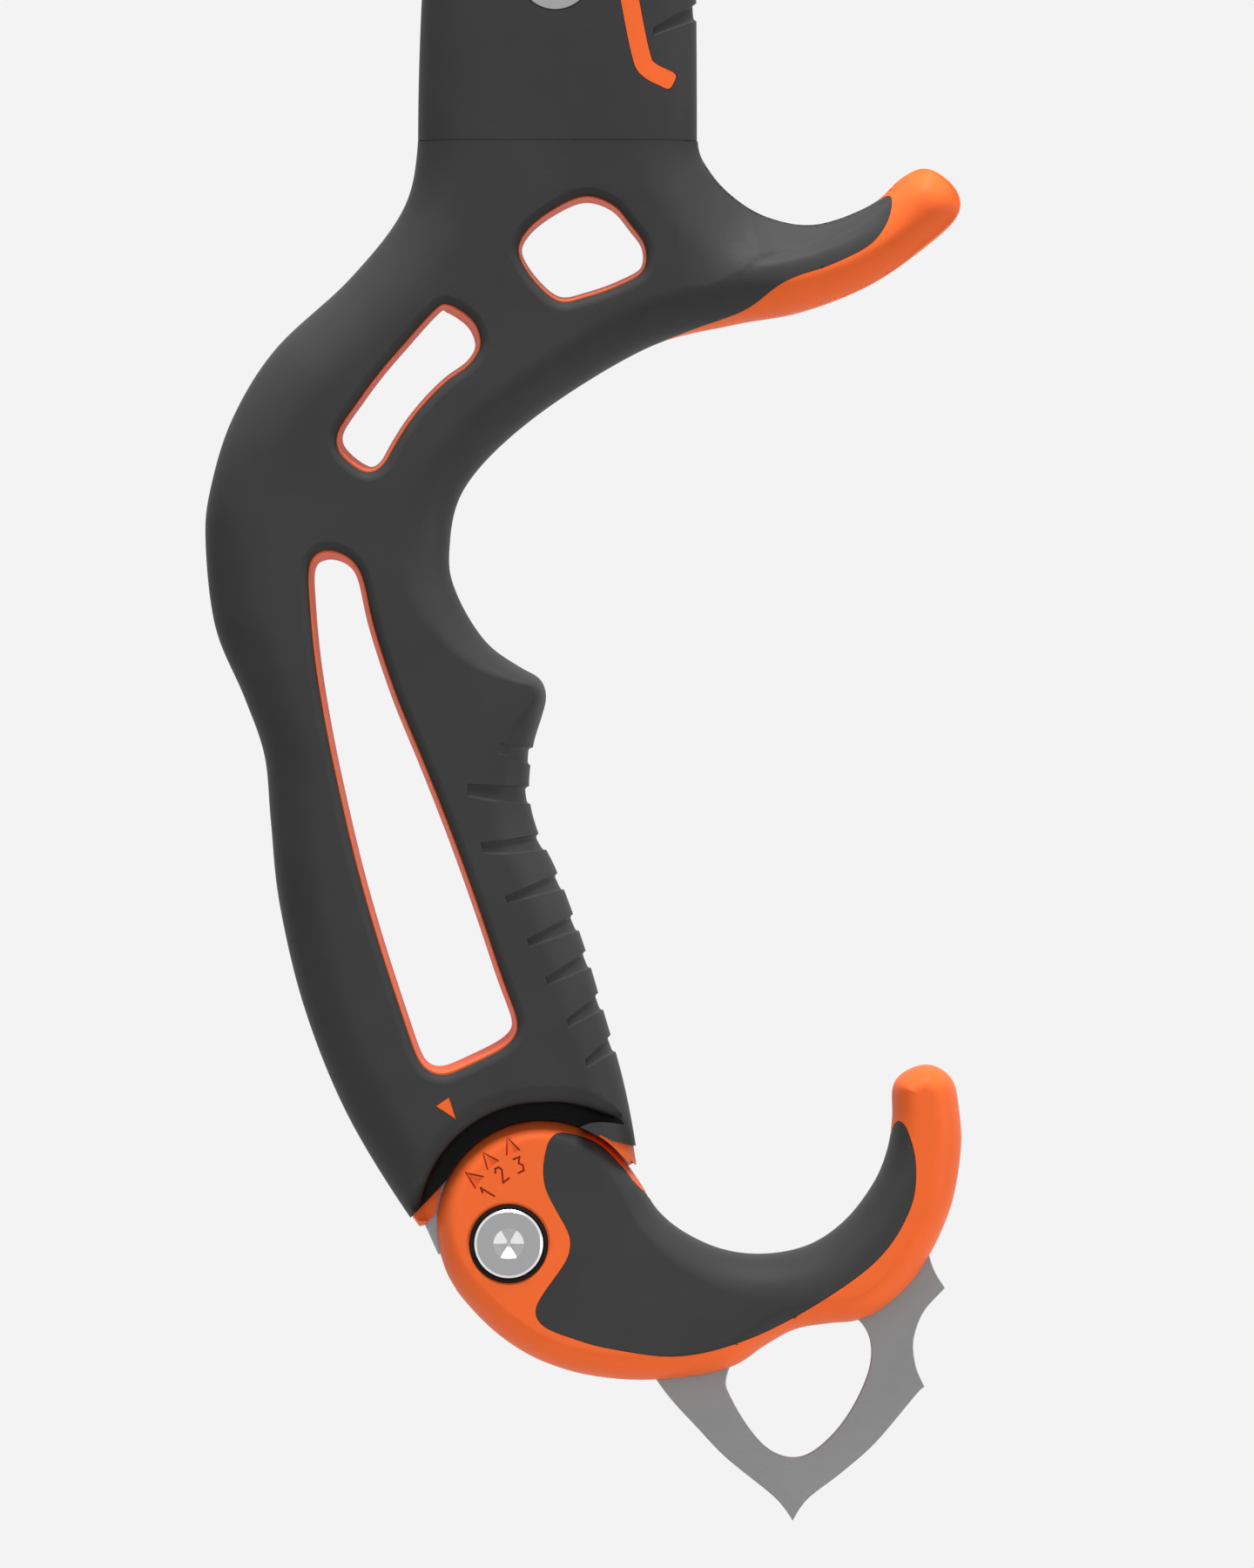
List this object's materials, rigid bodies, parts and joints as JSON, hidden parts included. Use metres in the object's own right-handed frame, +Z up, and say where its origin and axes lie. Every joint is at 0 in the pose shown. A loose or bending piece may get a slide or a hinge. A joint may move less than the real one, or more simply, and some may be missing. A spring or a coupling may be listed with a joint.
{
  "type": "ice climbing tool",
  "caption": "Hand-held ice climbing tool with a curved windowed grip, two hand hooks, an adjustable pommel with a spike, and a toothed drooping pick.",
  "frame": {"origin": "middle of the lower hand grip, on the tool's middle plane", "axes": "+Z up the tool towards the head, +X towards the pick and the hooks, +Y across the tool to its right side"},
  "size_m": [0.2467, 0.026, 0.4985],
  "materials": {
    "core_orange": "moulded satin nylon, orange",
    "soft_grip": "soft-touch moulded elastomer, charcoal",
    "shaft_metal": "dark anodised aluminium",
    "head_metal": "dark anodised forged aluminium",
    "blade_steel": "bead-blasted alloy steel",
    "tang_steel": "plain rolled steel",
    "bright_fastener": "satin zinc-plated steel",
    "ring_dark": "black sealing ring"
  },
  "bodies": {
    "handle": {"shaft": "shaft_metal", "shaft_bolt": "bright_fastener", "shaft_bolt_nut": "bright_fastener", "upper_grip": "soft_grip", "stripe_inlays": "core_orange", "handle_core": "core_orange", "handle_skin": "soft_grip", "position_pointers": "core_orange", "tang": "tang_steel", "tang_pins": "bright_fastener", "head": "head_metal", "head_pins": "bright_fastener", "pick": "blade_steel", "hammer": "blade_steel", "head_bolts": "bright_fastener", "head_nuts": "bright_fastener"},
    "pommel": {"pommel_shell_left": "core_orange", "pommel_shell_right": "core_orange", "pommel_pad_left": "soft_grip", "pommel_pad_right": "soft_grip", "spike": "blade_steel", "spike_pins": "bright_fastener", "pivot_pin": "bright_fastener", "clamp_nut": "bright_fastener", "bolt_ring": "ring_dark"},
    "clamp_bolt": {"clamp_bolt": "bright_fastener"}
  },
  "joints": [
    {"name": "pommel_adjust", "type": "hinge", "parent": "handle", "child": "pommel", "pos_m": [0.0227, 0, -0.0613], "axis": [0, -1, 0], "range_deg": [-17, 17]},
    {"name": "clamp_bolt_turn", "type": "hinge", "parent": "pommel", "child": "clamp_bolt", "pos_m": [0.0164, 0, -0.06479], "axis": [0, -1, 0], "range_deg": [0, 360]}
  ]
}
